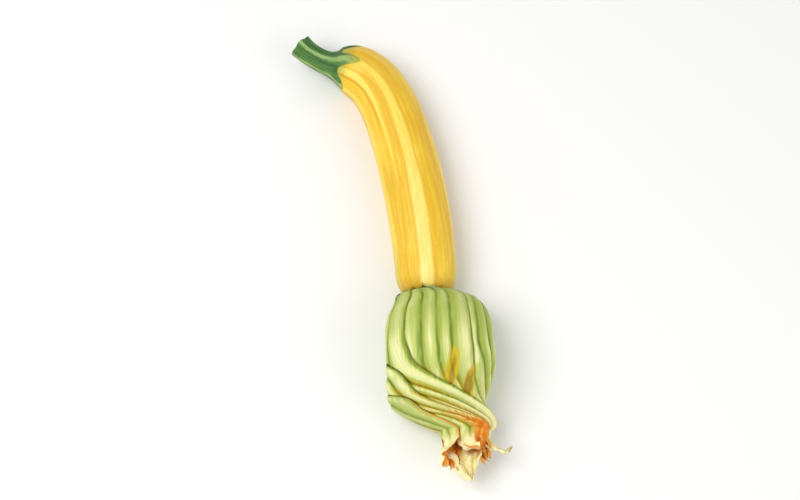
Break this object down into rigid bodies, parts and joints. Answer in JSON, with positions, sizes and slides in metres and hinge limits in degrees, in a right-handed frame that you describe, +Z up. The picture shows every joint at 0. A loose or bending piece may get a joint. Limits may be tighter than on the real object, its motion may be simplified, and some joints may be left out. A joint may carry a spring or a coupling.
{
  "type": "yellow zucchini with flower",
  "caption": "Picked young yellow zucchini lying on a surface: curved ribbed fruit, cut angled stalk and a closed, twisted flower with crumpled tips.",
  "frame": {"origin": "on the surface the part lies on, under the middle of its bounding box", "axes": "+Z up, -Y the way the flower points, +X towards the outer side of the fruit's bend"},
  "size_m": [0.1286, 0.2706, 0.0565],
  "materials": {
    "fruit_skin": "satin, waxy",
    "stalk_skin": "matte, finely bristled",
    "petal": "soft, thin, pleated",
    "sepal": "matte",
    "pistil_flesh": "matte, velvety"
  },
  "bodies": {
    "root": {"fruit": "fruit_skin", "stalk": "stalk_skin", "petal_1": "petal", "petal_2": "petal", "petal_3": "petal", "petal_4": "petal", "petal_5": "petal", "sepal_1": "sepal", "sepal_2": "sepal", "sepal_3": "sepal", "sepal_4": "sepal", "sepal_5": "sepal", "pistil": "pistil_flesh"}
  },
  "joints": []
}
